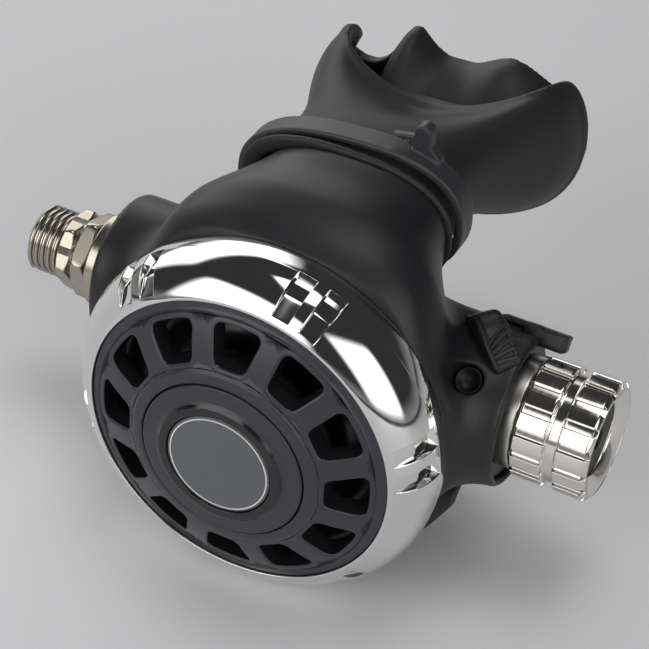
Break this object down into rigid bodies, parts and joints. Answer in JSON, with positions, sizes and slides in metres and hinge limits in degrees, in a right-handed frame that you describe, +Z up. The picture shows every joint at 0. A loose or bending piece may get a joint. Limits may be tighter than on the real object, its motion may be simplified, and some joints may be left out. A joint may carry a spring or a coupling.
{
  "type": "diving regulator second stage",
  "caption": "Round demand valve with purge button in a slotted cover, hose inlet, adjusting knob, flow lever, exhaust tee and clamped mouthpiece.",
  "frame": {"origin": "on the floor, under the valve's axis, in the middle of the round case", "axes": "-X along the valve to the hose inlet, +X to the adjusting knob, -Y out of the purge cover, +Y to the mouthpiece, +Z up"},
  "size_m": [0.1258, 0.1092, 0.0865],
  "materials": {
    "chrome": "polished chrome plate",
    "plated_brass": "satin nickel plate over brass",
    "steel": "spring and strip steel, satin",
    "gloss_black": "moulded plastic, glossy",
    "matte_black": "moulded plastic, fine satin",
    "badge_grey": "plain dark disc, satin",
    "silicone": "moulded silicone, satin",
    "seal_rubber": "soft rubber, dull",
    "white_plastic": "moulded plastic, satin"
  },
  "bodies": {
    "housing": {"front_ring": "chrome", "friction_washer": "white_plastic", "purge_cover": "gloss_black", "purge_spring": "steel", "diaphragm_membrane": "silicone", "case": "matte_black", "exhaust_valve": "silicone", "exhaust_tee": "matte_black", "inlet_fitting": "plated_brass", "inlet_lock_nut": "plated_brass", "inlet_washer": "plated_brass", "inlet_seal": "seal_rubber", "valve_barrel": "plated_brass", "valve_seat": "plated_brass", "seat_seal": "seal_rubber", "poppet_spring": "steel", "packing_nut": "chrome", "packing_seal": "seal_rubber", "lever_stop": "matte_black", "case_pin": "gloss_black", "mouthpiece": "silicone", "mouthpiece_clamp": "silicone"},
    "button": {"purge_button": "gloss_black", "purge_clip": "steel", "purge_badge": "badge_grey"},
    "diaphragm": {"diaphragm_plate": "steel"},
    "lever": {"demand_lever": "steel"},
    "poppet_stem": {"poppet": "white_plastic", "poppet_disc": "seal_rubber"},
    "adjuster": {"adjusting_screw": "plated_brass"},
    "knob": {"adjust_knob": "chrome", "knob_screw": "matte_black"},
    "pad": {"spring_pad": "white_plastic"},
    "venturi": {"venturi_lever": "matte_black", "venturi_vane": "matte_black"}
  },
  "joints": [
    {"name": "button_press", "type": "slide", "parent": "housing", "child": "button", "axis": [0, 1, 0], "range_m": [0, 0.003], "stiffness_N_per_m": 500, "springref_m": -0.002, "deforming": ["purge_spring"]},
    {"name": "diaphragm_move", "type": "slide", "parent": "housing", "child": "diaphragm", "axis": [0, 1, 0], "range_m": [0, 0.0032], "deforming": ["diaphragm_membrane"]},
    {"name": "lever_tilt", "type": "hinge", "parent": "housing", "child": "lever", "pos_m": [0.013, -0.00895, 0.0377], "axis": [0, 0, -1], "range_deg": [0, 13.2]},
    {"name": "poppet_lift", "type": "slide", "parent": "housing", "child": "poppet_stem", "axis": [1, 0, 0], "range_m": [0, 0.0018], "deforming": ["poppet_spring"]},
    {"name": "adjuster_travel", "type": "slide", "parent": "housing", "child": "adjuster", "axis": [1, 0, 0], "range_m": [0, 0.002]},
    {"name": "knob_turn", "type": "hinge", "parent": "adjuster", "child": "knob", "pos_m": [0.05, 0, 0.0377], "axis": [1, 0, 0], "range_deg": [0, 720]},
    {"name": "pad_travel", "type": "slide", "parent": "housing", "child": "pad", "axis": [1, 0, 0], "range_m": [0, 0.0021]},
    {"name": "venturi_swing", "type": "hinge", "parent": "housing", "child": "venturi", "pos_m": [0.03, 0, 0.0377], "axis": [-1, 0, 0], "range_deg": [0, 38]}
  ],
  "couplings": [
    {"joint": "diaphragm_move", "follows": "button_press", "ratio": 1},
    {"joint": "lever_tilt", "follows": "button_press", "rad_per_m": 75.631},
    {"joint": "poppet_lift", "follows": "button_press", "ratio": 0.55},
    {"joint": "knob_turn", "follows": "adjuster_travel", "rad_per_m": 6283.2},
    {"joint": "pad_travel", "follows": "adjuster_travel", "ratio": 1}
  ]
}
